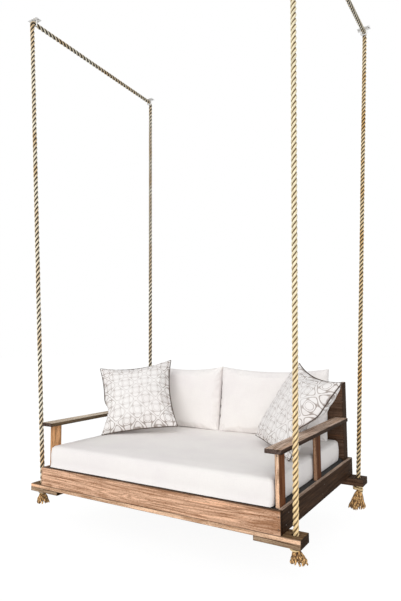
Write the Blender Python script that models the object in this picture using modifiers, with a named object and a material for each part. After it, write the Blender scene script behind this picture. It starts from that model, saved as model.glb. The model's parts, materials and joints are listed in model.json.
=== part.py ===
# Wooden garden swing: a full-size daybed on two ropes that run over four ceiling stirrups.
# Metres, +Z up, +Y towards the back. The origin lies in the ceiling plane, centred between the stirrups.

import bmesh
import bpy
from math import copysign, cos, pi, radians, sin, sqrt, tanh
from mathutils import Euler, Vector

# Clearances
seat_gap = 0.0003
rope_gap = 0.0008
overrun = 0.02
weld_distance = 0.00005

# Ceiling and swing
ceiling_height = 3.957
front_spread_x = 0.117
front_spread_y = 0.113
rear_spread_x = 0.141
rear_spread_y = 0.177

# Rope
rope_radius = 0.019
rope_sides = 16
front_knot_radius = 0.040
front_knot_height = 0.032
front_tassel_height = 0.066
front_tassel_radius = 0.053
rear_knot_radius = 0.050
rear_knot_height = 0.055
rear_tassel_height = 0.135
rear_tassel_radius = 0.078
neck_radius = 0.022
tassel_dome = 0.006
tassel_flare_power = 0.75
turned_steps = 24
bend_steps = 6

# Ceiling plates and stirrups
plate_length = 0.110
plate_width = 0.060
plate_thickness = 0.005
plate_ease = 0.001
plate_screw_radius = 0.0035
plate_screw_inset = 0.012
stirrup_rod_radius = 0.005
stirrup_corner_radius = 0.008
stirrup_side_clearance = 0.003
rope_under_plate = 0.008

# Boards of the bed frame
board_thickness = 0.028
rail_height = 0.140
edge_ease = 0.002
beam_depth = 0.140
beam_overhang = 0.120
block_length = 0.300
hole_beyond_rail = 0.065
hole_radius = 0.0254

# Arms, posts and back
arm_top = 0.489
arm_width = 0.111
arm_thickness = 0.0275
arm_outer_overhang = 0.012
arm_front_setback = 0.006
post_depth = 0.092
front_post_setback = 0.060
middle_slat_setback = 0.746
back_top = 0.777
back_bottom = 0.150
back_board_thickness = 0.022
back_board_gap = 0.0008
back_boards = 4

# Seat support
slat_width = 0.089
slat_thickness = 0.019
slats = 11
cleat_height = 0.038
cleat_depth = 0.028
bearer_height = 0.089
bearer_thickness = 0.038
bearer_slat_gap = 0.048

# Mattress
mattress_width = 1.905
mattress_depth = 1.372
mattress_bottom = 0.135
mattress_thickness = 0.169
mattress_setback = 0.036
mattress_side_gap = 0.0112
mattress_back_gap = 0.0194
mattress_crown = 0.012
mattress_crown_run = 0.120
mattress_rounding = 0.018
mattress_bevel_segments = 4
bevel_angle = 30.0

# Cushions and pillows: a grid of cells for each face
face_cells = 16
seating_rounds = 3
bottom_draw_share = 0.3
crown_power = 0.42

back_cushion_height = 0.585
back_cushion_thickness = 0.170
back_cushion_draw = 0.035
back_cushion_side_draw = 0.004
back_cushion_lean = 9.0
left_cushion_width = 0.800
cushion_gap = 0.004
left_cushion_arm_gap = 0.001
right_cushion_arm_gap = 0.021

pillow_size = 0.690
pillow_thickness = 0.235
pillow_draw = 0.045
pillow_side_draw = 0.022
pillow_press = 0.060
arm_press = 0.090
arm_press_gap = 0.003
arm_press_above = 0.030
arm_press_slope = 2.0
left_pillow_arm_distance = 0.157
left_pillow_back_distance = 0.5424
left_pillow_turn = (30.0, 33.2, -7.7)
left_pillow_sink = 0.005
right_pillow_arm_distance = 0.108
right_pillow_back_distance = 0.6164
right_pillow_turn = (-39.4, 30.6, 10.3)
right_pillow_sink = 0.053

# Derived places: the frame is built round the mattress
post_inner_x = mattress_width / 2 + mattress_side_gap
inner_x = post_inner_x + board_thickness + seat_gap
half_length = inner_x + board_thickness
back_depth = back_board_thickness + seat_gap + post_depth + seat_gap + board_thickness
bed_depth = mattress_setback + mattress_depth + mattress_back_gap + back_depth
front_y = -bed_depth / 2
rear_y = bed_depth / 2
base_z = -ceiling_height
rail_top = base_z + rail_height
arm_outer = half_length + arm_outer_overhang
arm_inner = arm_outer - arm_width
hole_x = half_length + hole_beyond_rail
front_hole_y = front_y + beam_depth / 2
rear_hole_y = rear_y - beam_depth / 2
front_hook_x = hole_x + front_spread_x
rear_hook_x = hole_x + rear_spread_x
front_hook_y = front_hole_y - front_spread_y
rear_hook_y = rear_hole_y + rear_spread_y
bend_radius = rope_radius + seat_gap + stirrup_rod_radius
run_z = -(plate_thickness + rope_under_plate + rope_radius)
hook_z = run_z - bend_radius - rope_gap - rope_radius
rear_post_y = rear_y - board_thickness - seat_gap - post_depth
back_front_y = rear_post_y - seat_gap - back_board_thickness
slat_top = base_z + mattress_bottom - seat_gap
cleat_top = slat_top - slat_thickness - seat_gap
mattress_top = base_z + mattress_bottom + mattress_thickness
mattress_front_y = front_y + mattress_setback

lit_wood = ("lit_wood", (0.42, 0.25, 0.15), 0.62, 0.0)
dark_wood = ("dark_wood", (0.14, 0.085, 0.055), 0.65, 0.0)
deck_wood = ("deck_wood", (0.52, 0.38, 0.24), 0.75, 0.0)
manila = ("manila", (0.72, 0.55, 0.28), 0.85, 0.0)
steel = ("white_steel", (0.80, 0.80, 0.78), 0.45, 0.4)
white_cloth = ("white_cloth", (0.86, 0.84, 0.82), 0.92, 0.0)
patterned_cloth = ("patterned_cloth", (0.78, 0.75, 0.72), 0.92, 0.0)


def clear_scene():
    for obj in list(bpy.data.objects):
        bpy.data.objects.remove(obj, do_unlink=True)


def collection(name):
    made = bpy.data.collections.new(name)
    bpy.context.scene.collection.children.link(made)
    return made


def material(look):
    name, colour, roughness, metallic = look
    found = bpy.data.materials.get(name)
    if found is None:
        found = bpy.data.materials.new(name)
        found.use_nodes = True
        shader = found.node_tree.nodes["Principled BSDF"]
        shader.inputs["Base Color"].default_value = (*colour, 1.0)
        shader.inputs["Roughness"].default_value = roughness
        shader.inputs["Metallic"].default_value = metallic
    return found


def add_object(name, data, place, look, parent=None):
    obj = bpy.data.objects.new(name, data)
    parts.objects.link(obj)
    obj.location = Vector(place)
    if parent is not None:
        obj.parent = parent
        obj.location -= parent.location
    obj.data.materials.append(material(look))
    return obj


def pivot(name, place):
    empty = bpy.data.objects.new(name, None)
    parts.objects.link(empty)
    empty.location = place
    return empty


def mesh_from(name, build):
    bm = bmesh.new()
    build(bm)
    mesh = bpy.data.meshes.new(name)
    bm.to_mesh(mesh)
    bm.free()
    return mesh


def board(name, low, high, look, parent=None, ease=edge_ease):
    size = Vector(high) - Vector(low)
    middle = (Vector(high) + Vector(low)) / 2

    def build(bm):
        bmesh.ops.create_cube(bm, size=1)
        bmesh.ops.scale(bm, vec=size, verts=bm.verts)

    obj = add_object(name, mesh_from(name, build), middle, look, parent)
    rounding = obj.modifiers.new("eased_edges", "BEVEL")
    rounding.width = ease
    rounding.segments = 1
    return obj


def drill(obj, place, radius, length):
    def build(bm):
        bmesh.ops.create_cone(bm, cap_ends=True, segments=turned_steps, radius1=radius,
                              radius2=radius, depth=length)

    cutter = bpy.data.objects.new(obj.name + "_drill", mesh_from("drill", build))
    cutters.objects.link(cutter)
    cutter.location = place
    cutter.hide_render = True
    cutter.display_type = "WIRE"
    cut = obj.modifiers.new("hole", "BOOLEAN")
    cut.object = cutter
    cut.operation = "DIFFERENCE"


def turned(name, profile, place, look, parent, steps):
    def build(bm):
        verts = [bm.verts.new((radius, 0, height)) for radius, height in profile]
        for upper, lower in zip(verts, verts[1:]):
            bm.edges.new((upper, lower))

    obj = add_object(name, mesh_from(name, build), place, look, parent)
    screw = obj.modifiers.new("turned", "SCREW")
    screw.axis = "Z"
    screw.steps = steps
    screw.render_steps = steps
    screw.use_merge_vertices = True
    screw.merge_threshold = weld_distance
    return obj


def rod(name, points, radius, look, parent=None):
    curve = bpy.data.curves.new(name, "CURVE")
    curve.dimensions = "3D"
    curve.bevel_depth = radius
    curve.bevel_resolution = 4
    curve.use_fill_caps = True
    spline = curve.splines.new("POLY")
    spline.points.add(len(points) - 1)
    for point, place in zip(spline.points, points):
        point.co = (*place, 1)
    return add_object(name, curve, (0, 0, 0), look, parent)


def make_frame():
    board("front_rail", (-half_length, front_y, base_z),
          (half_length, front_y + board_thickness, rail_top), lit_wood, bed)
    board("rear_rail", (-half_length, rear_y - board_thickness, base_z),
          (half_length, rear_y, rail_top), dark_wood, bed)
    side_front = front_y + board_thickness + seat_gap
    side_rear = rear_y - board_thickness - seat_gap
    for side, word in ((-1, "left"), (1, "right")):
        ends = sorted((side * inner_x, side * half_length))
        board(word + "_side_rail", (ends[0], side_front, base_z), (ends[1], side_rear, rail_top),
              dark_wood, bed)
    beam_top = base_z - seat_gap
    beam_bottom = beam_top - board_thickness
    block_top = beam_bottom - seat_gap
    block_bottom = block_top - board_thickness
    reach = half_length + beam_overhang
    for low_y, hole_y, word in ((front_y, front_hole_y, "front"),
                                (rear_y - beam_depth, rear_hole_y, "rear")):
        beam = board(word + "_beam", (-reach, low_y, beam_bottom), (reach, low_y + beam_depth, beam_top),
                     lit_wood, bed)
        for side, hand in ((-1, "left"), (1, "right")):
            ends = sorted((side * (reach - block_length), side * reach))
            block = board(word + "_" + hand + "_block", (ends[0], low_y, block_bottom),
                          (ends[1], low_y + beam_depth, block_top), dark_wood, bed)
            middle = (side * hole_x, hole_y, block_top)
            span = (beam_top - block_bottom) * 2 + overrun
            drill(beam, middle, hole_radius, span)
            drill(block, middle, hole_radius, span)


def make_arms():
    arm_bottom = base_z + arm_top - arm_thickness
    post_top = arm_bottom - seat_gap
    foot = base_z + seat_gap
    for side, hand in ((-1, "left"), (1, "right")):
        ends = sorted((side * arm_outer, side * arm_inner))
        board(hand + "_arm", (ends[0], front_y + arm_front_setback, arm_bottom),
              (ends[1], back_front_y - seat_gap, base_z + arm_top), dark_wood, bed)
        ends = sorted((side * post_inner_x, side * (inner_x - seat_gap)))
        for word, low_y, top in (("front_post", front_y + front_post_setback, post_top),
                                 ("middle_slat", front_y + middle_slat_setback, post_top),
                                 ("rear_post", rear_post_y, base_z + back_top)):
            board(hand + "_" + word, (ends[0], low_y, foot), (ends[1], low_y + post_depth, top),
                  dark_wood, bed)


def make_back():
    height = (back_top - back_bottom - (back_boards - 1) * back_board_gap) / back_boards
    for row in range(back_boards):
        top = base_z + back_top - row * (height + back_board_gap)
        board("back_board_%d" % (row + 1), (-inner_x, back_front_y, top - height),
              (inner_x, back_front_y + back_board_thickness, top), dark_wood, bed)


def make_seat():
    cleat_x = post_inner_x - seat_gap
    front_face = front_y + board_thickness + seat_gap
    rear_face = rear_y - board_thickness - seat_gap
    board("front_cleat", (-cleat_x, front_face, cleat_top - cleat_height),
          (cleat_x, front_face + cleat_depth, cleat_top), deck_wood, bed)
    board("rear_cleat", (-cleat_x, rear_face - cleat_depth, cleat_top - cleat_height),
          (cleat_x, rear_face, cleat_top), deck_wood, bed)
    bearer_y = front_y + middle_slat_setback - bearer_slat_gap - bearer_thickness
    bearer_x = inner_x - seat_gap
    board("centre_bearer", (-bearer_x, bearer_y, cleat_top - bearer_height),
          (bearer_x, bearer_y + bearer_thickness, cleat_top), deck_wood, bed)
    space = (2 * inner_x - slats * slat_width) / (slats + 1)
    for number in range(slats):
        low_x = -inner_x + space + number * (slat_width + space)
        board("seat_slat_%02d" % (number + 1), (low_x, front_face, slat_top - slat_thickness),
              (low_x + slat_width, rear_face, slat_top), deck_wood, bed)


def make_mattress():
    size = Vector((mattress_width, mattress_depth, mattress_thickness))
    middle = Vector((0, mattress_front_y + mattress_depth / 2,
                     mattress_top - mattress_thickness / 2))

    def build(bm):
        bmesh.ops.create_cube(bm, size=1)
        bmesh.ops.scale(bm, vec=size, verts=bm.verts)
        top = max(bm.faces, key=lambda face: face.normal.z)
        bmesh.ops.inset_region(bm, faces=[top], thickness=mattress_crown_run, use_even_offset=True)
        bmesh.ops.translate(bm, verts=top.verts, vec=(0, 0, mattress_crown))

    obj = add_object("mattress", mesh_from("mattress", build), middle, white_cloth, bed)
    rounding = obj.modifiers.new("rounded_edges", "BEVEL")
    rounding.width = mattress_rounding
    rounding.segments = mattress_bevel_segments
    rounding.limit_method = "ANGLE"
    rounding.angle_limit = radians(bevel_angle)
    obj.data.shade_smooth()


def mattress_height(x, y):
    # The mattress rises from its rounded edge to a level top over the width of its crown run.
    from_side = mattress_width / 2 - abs(x)
    from_end = mattress_depth / 2 - abs(y - mattress_front_y - mattress_depth / 2)
    inside = max(0.0, min(from_side, from_end))
    short = max(0.0, mattress_rounding - inside)
    edge = mattress_rounding - sqrt(mattress_rounding ** 2 - short ** 2)
    return mattress_top + mattress_crown * min(1.0, inside / mattress_crown_run) - edge


def cushion_mesh(name, width, height, thickness, side_draw, top_draw):
    # Two crowned faces meet at the seam, which is drawn in between the corners.
    def build(bm):
        bmesh.ops.create_grid(bm, x_segments=face_cells, y_segments=face_cells, size=1)
        middles = {face: face.calc_center_median() for face in bm.faces}
        for side, method in ((1, "FIXED"), (-1, "ALTERNATE")):
            cells = [face for face, middle in middles.items() if middle.x * middle.y * side > 0]
            bmesh.ops.triangulate(bm, faces=cells, quad_method=method)
        for vert in bm.verts:
            across, up = sin(vert.co.x * pi / 2), sin(vert.co.y * pi / 2)
            pull = top_draw * (bottom_draw_share if up < 0 else 1.0)
            fall = max(0.0, (1 - across ** 2) * (1 - up ** 2)) ** crown_power
            vert.co = ((width / 2 - side_draw * (1 - up ** 2)) * across, -thickness / 2 * fall,
                       (height / 2 - pull * (1 - across ** 2)) * up)
        copied = bmesh.ops.duplicate(bm, geom=bm.verts[:] + bm.edges[:] + bm.faces[:])["geom"]
        back_verts = [item for item in copied if isinstance(item, bmesh.types.BMVert)]
        back_faces = [item for item in copied if isinstance(item, bmesh.types.BMFace)]
        bmesh.ops.reverse_faces(bm, faces=back_faces)
        bmesh.ops.scale(bm, vec=(1, -1, 1), verts=back_verts)
        bmesh.ops.remove_doubles(bm, verts=bm.verts, dist=weld_distance)

    mesh = mesh_from(name, build)
    mesh.shade_smooth()
    return mesh


def seat_height(points, x, y):
    return max(mattress_height(x + point.x, y + point.y) - point.z for point in points) + seat_gap


def back_cushion(name, width, low_x):
    # The cushion stands on the mattress and leans back until it meets the back boards.
    mesh = cushion_mesh(name, width, back_cushion_height, back_cushion_thickness,
                        back_cushion_side_draw, back_cushion_draw)
    facing = Euler((-radians(back_cushion_lean), 0, 0))
    points = [facing.to_matrix() @ vert.co for vert in mesh.vertices]
    x = low_x + width / 2
    y = back_front_y - seat_gap - max(point.y for point in points)
    for _ in range(seating_rounds):
        z = seat_height(points, x, y)
        touching = [point.y for point in points if z + point.z < base_z + back_top]
        y = back_front_y - seat_gap - max(touching)
    obj = add_object(name, mesh, (x, y, z), white_cloth, bed)
    obj.rotation_euler = facing


def beside_arm(point):
    # A soft pillow stays inside the arm that it leans on, and above the arm it bulges over it.
    x, y, z = point
    above = max(0.0, z - base_z - arm_top - arm_press_above)
    start = arm_inner - arm_press_gap + arm_press_slope * above - arm_press
    if abs(x) <= start:
        return point
    return Vector((copysign(start + arm_press * tanh((abs(x) - start) / arm_press), x), y, z))


def on_mattress(points):
    # Its lower corner gives way where it stands on the mattress.
    heights = [point.z - mattress_height(point.x, point.y) - seat_gap for point in points]
    sink = -min(heights)
    settled = []
    for point, height in zip(points, heights):
        if height < pillow_press:
            height_now = (height + sink) * pillow_press / (pillow_press + sink)
            point = point + Vector((0, 0, height_now - height))
        settled.append(point)
    return settled


def pillow(name, x, y, turn, sink):
    # turn is the yaw, the lean backwards and the roll in the pillow's own plane, in degrees.
    yaw, lean, roll = (radians(angle) for angle in turn)
    mesh = cushion_mesh(name, pillow_size, pillow_size, pillow_thickness, pillow_side_draw,
                        pillow_draw)
    facing = Euler((0, 0, yaw)).to_matrix() @ Euler((-lean, 0, 0)).to_matrix()
    facing = facing @ Euler((0, roll, 0)).to_matrix()
    points = [facing @ vert.co for vert in mesh.vertices]
    centre = Vector((x, y, seat_height(points, x, y) - sink))
    points = on_mattress([beside_arm(centre + point) for point in points])
    for vert, point in zip(mesh.vertices, points):
        vert.co = facing.transposed() @ (point - centre)
    obj = add_object(name, mesh, centre, patterned_cloth, bed)
    obj.rotation_euler = facing.to_euler()


def make_cushions():
    low_x = left_cushion_arm_gap - arm_inner
    back_cushion("left_back_cushion", left_cushion_width, low_x)
    low_x += left_cushion_width + cushion_gap
    back_cushion("right_back_cushion", arm_inner - right_cushion_arm_gap - low_x, low_x)
    pillow("left_pillow", left_pillow_arm_distance - arm_inner,
           back_front_y - left_pillow_back_distance, left_pillow_turn, left_pillow_sink)
    pillow("right_pillow", arm_inner - right_pillow_arm_distance,
           back_front_y - right_pillow_back_distance, right_pillow_turn, right_pillow_sink)


def quarter(radius, steps):
    return [(radius * sin(pi / 2 * step / steps), radius * cos(pi / 2 * step / steps))
            for step in range(steps + 1)]


def rope_fall(name, top, bottom, look, parent):
    # A straight length of rope with round ends, each centred on the point it turns about.
    along = Vector(bottom) - Vector(top)
    length = along.length
    cap = quarter(rope_radius, bend_steps)
    profile = cap + [(radius, -length - height) for radius, height in reversed(cap)]
    obj = turned(name, profile, top, look, parent, rope_sides)
    obj.rotation_euler = Vector((0, 0, -1)).rotation_difference(along).to_euler()
    obj.data.shade_smooth()


def rope_end(name, place, knot_height, knot_radius, tassel_height, tassel_radius):
    # The rope passes down through the beam and its block, and is knotted and unlaid below them.
    stub_top = -(rope_radius + rope_gap)
    knot_top = -2 * (seat_gap + board_thickness) - seat_gap
    knot_middle = knot_top - knot_height / 2
    profile = [(0, stub_top), (rope_radius, stub_top), (rope_radius, knot_top)]
    swell = knot_radius - neck_radius
    for step in range(2 * bend_steps + 1):
        angle = pi / 2 - pi / 2 * step / bend_steps
        profile.append((neck_radius + swell * cos(angle), knot_middle + knot_height / 2 * sin(angle)))
    tassel_top = knot_top - knot_height
    for step in range(1, bend_steps + 1):
        share = step / bend_steps
        flare = neck_radius + (tassel_radius - neck_radius) * share ** tassel_flare_power
        profile.append((flare, tassel_top - tassel_height * share))
    profile.append((0, tassel_top - tassel_height - tassel_dome))
    obj = turned(name, profile, place, manila, bed, turned_steps)
    obj.data.shade_smooth()


def rope_run(name, side):
    # The rope rises from the front fall, bends over both stirrups and comes down to the rear fall.
    start_z = run_z - bend_radius
    points = []
    for inward, hook_x, hook_y in ((1, front_hook_x, front_hook_y), (-1, rear_hook_x, rear_hook_y)):
        bend = [(side * hook_x,
                 hook_y + inward * (bend_radius - bend_radius * cos(pi / 2 * step / bend_steps)),
                 start_z + bend_radius * sin(pi / 2 * step / bend_steps))
                for step in range(bend_steps + 1)]
        points += bend if inward > 0 else bend[::-1]
    rod(name, points, rope_radius, manila)


def make_ropes():
    front_end = (front_knot_height, front_knot_radius, front_tassel_height, front_tassel_radius)
    rear_end = (rear_knot_height, rear_knot_radius, rear_tassel_height, rear_tassel_radius)
    for side, hand in ((-1, "left"), (1, "right")):
        rope_run(hand + "_ceiling_run", side)
        for word, parent, hook_x, hook_y, hole_y, sizes in (
                ("front", front_ropes, front_hook_x, front_hook_y, front_hole_y, front_end),
                ("rear", rear_ropes, rear_hook_x, rear_hook_y, rear_hole_y, rear_end)):
            top = (side * hook_x, hook_y, hook_z)
            bottom = (side * hole_x, hole_y, base_z)
            rope_fall(word + "_" + hand + "_fall", top, bottom, manila, parent)
            rope_end(word + "_" + hand + "_rope_end", bottom, *sizes)


def ceiling_plate(name, x, y):
    plate = board(name, (x - plate_length / 2, y - plate_width / 2, -plate_thickness),
                  (x + plate_length / 2, y + plate_width / 2, 0), steel, ease=plate_ease)
    for end in (-1, 1):
        screw_x = x + end * (plate_length / 2 - plate_screw_inset)
        drill(plate, (screw_x, y, -plate_thickness / 2), plate_screw_radius, overrun)


def stirrup(name, x, y):
    # A rod bent to a U hangs from the plate, and the rope passes between the plate and its bar.
    bar_z = run_z - bend_radius
    leg = rope_radius + stirrup_side_clearance + stirrup_rod_radius
    half = [(x - leg, y, -plate_thickness - seat_gap)]
    for step in range(bend_steps + 1):
        angle = pi / 2 * step / bend_steps
        half.append((x - leg + stirrup_corner_radius * (1 - cos(angle)), y,
                     bar_z + stirrup_corner_radius * (1 - sin(angle))))
    points = half + [(2 * x - px, py, pz) for px, py, pz in reversed(half)]
    rod(name, points, stirrup_rod_radius, steel)


def make_fittings():
    for side, hand in ((-1, "left"), (1, "right")):
        for word, inward, hook_x, hook_y in (("front", 1, front_hook_x, front_hook_y),
                                             ("rear", -1, rear_hook_x, rear_hook_y)):
            x = side * hook_x
            y = hook_y + inward * bend_radius
            ceiling_plate(word + "_" + hand + "_plate", x, y)
            stirrup(word + "_" + hand + "_stirrup", x, y)


clear_scene()
parts = collection("wooden_garden_swing")
cutters = collection("cutters")
bed = pivot("bed_pivot", (0, front_hole_y, base_z))
front_ropes = pivot("front_rope_pivot", (0, front_hook_y, hook_z))
rear_ropes = pivot("rear_rope_pivot", (0, rear_hook_y, hook_z))
make_frame()
make_arms()
make_back()
make_seat()
make_mattress()
make_cushions()
make_ropes()
make_fittings()
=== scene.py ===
# Looks of the wooden garden swing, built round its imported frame.
# Metres, in the part's own frame: X right, Y to the back, Z up, the ceiling plane at zero.

import json
from math import copysign, cos, pi, radians, sin, sqrt

import bmesh
import bpy
import numpy as np
from mathutils import Euler, Matrix, Vector, noise


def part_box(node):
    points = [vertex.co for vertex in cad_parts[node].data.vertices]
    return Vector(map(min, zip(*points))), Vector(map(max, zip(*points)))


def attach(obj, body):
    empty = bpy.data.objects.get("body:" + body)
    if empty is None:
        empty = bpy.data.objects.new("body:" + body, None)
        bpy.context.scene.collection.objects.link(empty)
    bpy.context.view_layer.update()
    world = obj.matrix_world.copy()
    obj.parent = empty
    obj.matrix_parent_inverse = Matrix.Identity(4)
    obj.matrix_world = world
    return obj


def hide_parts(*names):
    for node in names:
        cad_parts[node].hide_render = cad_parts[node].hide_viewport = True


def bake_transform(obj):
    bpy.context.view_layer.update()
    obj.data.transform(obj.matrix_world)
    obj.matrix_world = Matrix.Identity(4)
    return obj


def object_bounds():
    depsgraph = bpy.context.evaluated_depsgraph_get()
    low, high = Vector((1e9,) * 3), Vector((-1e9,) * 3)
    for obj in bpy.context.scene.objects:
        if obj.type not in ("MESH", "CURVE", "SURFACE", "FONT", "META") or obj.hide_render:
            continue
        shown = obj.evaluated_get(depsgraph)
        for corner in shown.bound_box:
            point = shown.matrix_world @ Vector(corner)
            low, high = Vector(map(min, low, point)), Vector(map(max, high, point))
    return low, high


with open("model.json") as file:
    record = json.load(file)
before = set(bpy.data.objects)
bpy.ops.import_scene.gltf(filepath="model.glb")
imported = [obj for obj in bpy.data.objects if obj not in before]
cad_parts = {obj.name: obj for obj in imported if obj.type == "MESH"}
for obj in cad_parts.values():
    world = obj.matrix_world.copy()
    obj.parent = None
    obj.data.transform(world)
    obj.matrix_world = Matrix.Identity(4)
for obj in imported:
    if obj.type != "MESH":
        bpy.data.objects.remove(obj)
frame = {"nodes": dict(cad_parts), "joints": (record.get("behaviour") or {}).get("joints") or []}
cad_low, cad_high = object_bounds()

# Camera of the photograph
photo_height = 601
focal_pixels = 492.5
sensor_width = 36.0
camera_place = (2.189, -3.541, -2.832)
camera_yaw = 31.75
camera_pitch = 4.85
camera_roll = -0.39
camera_far = 200.0

# Room and light
floor_gap = 0.10
floor_half = 40.0
floor_grey = (0.92, 0.92, 0.92, 1.0)
floor_roughness = 0.9
floor_shadow_share = 0.16
floor_glow = 1.10
sky_level = 0.60
sky_colour = (0.98, 0.99, 1.0, 1.0)
white = (1.0, 1.0, 1.0, 1.0)
sun_level = 1.58
sun_place = (0.18, -0.85, 0.47)
sun_spread = 60.0

# Rope: the angles of a strand's points run over half_lobe each way, in degrees
rope_radius = 0.019
lay_lengths = {"left": 0.130, "right": 0.110}
strands = 3
strand_radius = 0.0098
half_lobe = 60
lobe_angles = (-60, -50, -38, -24, -8, 8, 24, 38, 50)
ring_step = 0.0055
rope_wear = 0.02
wear_waves = 61
wear_shift = 2.1
least_end_share = 0.02
bend_radius = 0.0243
bend_steps = 10
upright_share = 0.9

# Knots: one coil between the beam and the tassel
stub_depth = 0.0198
coil_top = 0.045
coil_start = 0.052
coil_steps = 40
coil_power = 0.45
coil_tail = 0.008
knot_ring_share = 0.7
core_share = 0.55
core_fade = 0.03
knot_above_tassel = 0.004
rope_above_tip = 0.012
tassel_under_knot = 0.006
tassel_above_tip = 0.002

# Tassels: ranges are drawn for each yarn, as shares of the tassel's sizes
yarn_radius = 0.0058
yarn_rings = 14
yarn_sides = 8
yarn_wave = 0.0055
neck_radius = 0.016
neck_share = 0.85
turn_jitter = (-0.10, 0.10)
outer_reach, inner_reach = (0.80, 1.0), (0.05, 0.70)
outer_drop, inner_drop = (0.93, 1.0), (0.80, 0.97)
yarn_girth = (0.80, 1.20)
wave_share = (0.5, 1.3)
spread_power = 0.75
yarn_lean = 0.25
waves_round, waves_out = 7, 9
tip_length, tip_least, tip_power = 0.10, 0.12, 0.6
root_girth, girth_gain = 0.85, 0.25
first_tassel_seed = 11

uprights = ("front_post", "middle_slat", "rear_post")

# Screws: a head's rings are shares of its radius, outwards and up
screw_sides = 24
screw_rings = ((1.0, -0.10), (0.97, 0.08), (0.60, 0.16), (0.40, 0.14), (0.34, -0.25), (0.10, -0.28))
recess_rows = 3
recess_least, recess_gain = 0.55, 0.45
frame_screw, plate_screw = 0.0045, 0.0060
post_screw_inset = 0.025
post_screw_heights = (0.040, 0.100)
arm_screw_drop = 0.022
rail_screw_inset = 0.014
rail_screw_heights = (0.035, 0.105)
block_screw_insets = (0.035, 0.018)
back_screw_inset, back_screw_margin = 0.016, 0.035
plate_screw_inset = 0.012

# Cushions and pillows: pillow_sizes holds width, height, thickness, side draw and top draw
seam_clearance = 0.0004
bottom_draw_share = 0.3
edge_squeeze = 0.45
back_cushion_sizes = (0.585, 0.170, 0.001, 0.035)
back_cushion_crown = 0.22
back_cushion_spread = 0.0017
back_cushion_sink = 0.030
back_cushion_lean = 9.0
back_cushion_cell = 0.011
back_cushion_rows = 56
back_cushion_puff = (3.0, 0.02, 0.016)
above_back = 0.004
past_box = 0.012
pillow_sizes = (0.690, 0.690, 0.235, 0.042, 0.052)
pillow_crown = 0.42
pillow_cells = 64
pillow_puff = (3.0, 0.035, 0.018)
pillow_seed = 7
left_pillow_turn = (30.0, 33.2, -7.7)
right_pillow_turn = (-39.4, 30.6, 10.3)
pillow_press = 0.060
arm_press = 0.090
arm_press_gap = 0.003
arm_press_above = 0.030
arm_press_slope = 2.0
piping_radius = 0.0044
piping_step = 0.009
dent_share = 0.09
dent_scale = 6.5
noise_shift = (3.1, 1.7, 2.3)
cloth_frames = 20
least_move = 1e-9
cloth_values = {"quality": 5, "mass": 0.25, "tension_stiffness": 14.0, "compression_stiffness": 14.0,
                "shear_stiffness": 5.0, "bending_stiffness": 0.4, "use_pressure": True}

# Mattress: its lumps have a scale, a height and a seed each
mattress_cuts = (95, 68, 35)
mattress_rounding = 0.014
mattress_corner = 0.014
mattress_crown = 0.012
mattress_crown_run = 0.120
mattress_bottom_rounding = 0.007
mattress_bulge = 0.006
mattress_lip = 0.020
lip_start, lip_run, lip_power = 0.2, 0.744, 3
end_level = 0.499
mattress_lumps = ((4.5, 0.0022, 3), (17.0, 0.0007, 4))
lump_middle = 0.0012

# Black sheet over the slats, which paints the shade in the gap under the mattress
shade_sheet_lift = 0.00012
shade_sheet_gap = 0.0006
post_gap = 0.001


def middle_of(node):
    low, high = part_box(node)
    return (low + high) / 2


def joint_place(name):
    return Vector(next(joint["pos_m"] for joint in frame["joints"] if joint["name"] == name))


base_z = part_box("front_rail")[0].z
arm_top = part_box("right_arm")[1].z
arm_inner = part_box("right_arm")[0].x
back_front_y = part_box("back_board_1")[0].y
back_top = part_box("back_board_1")[1].z
mattress_low, mattress_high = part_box("mattress")
mattress_edge_top = mattress_high.z - mattress_crown


# Materials. A noise has waves a metre (for wood across and along a board), detail and roughness.
# A tone has the two values between which a noise rises, and the light at the first and the last.
# A bump has its height in metres and its strength. A roughness has a noise's share and the least.

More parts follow.
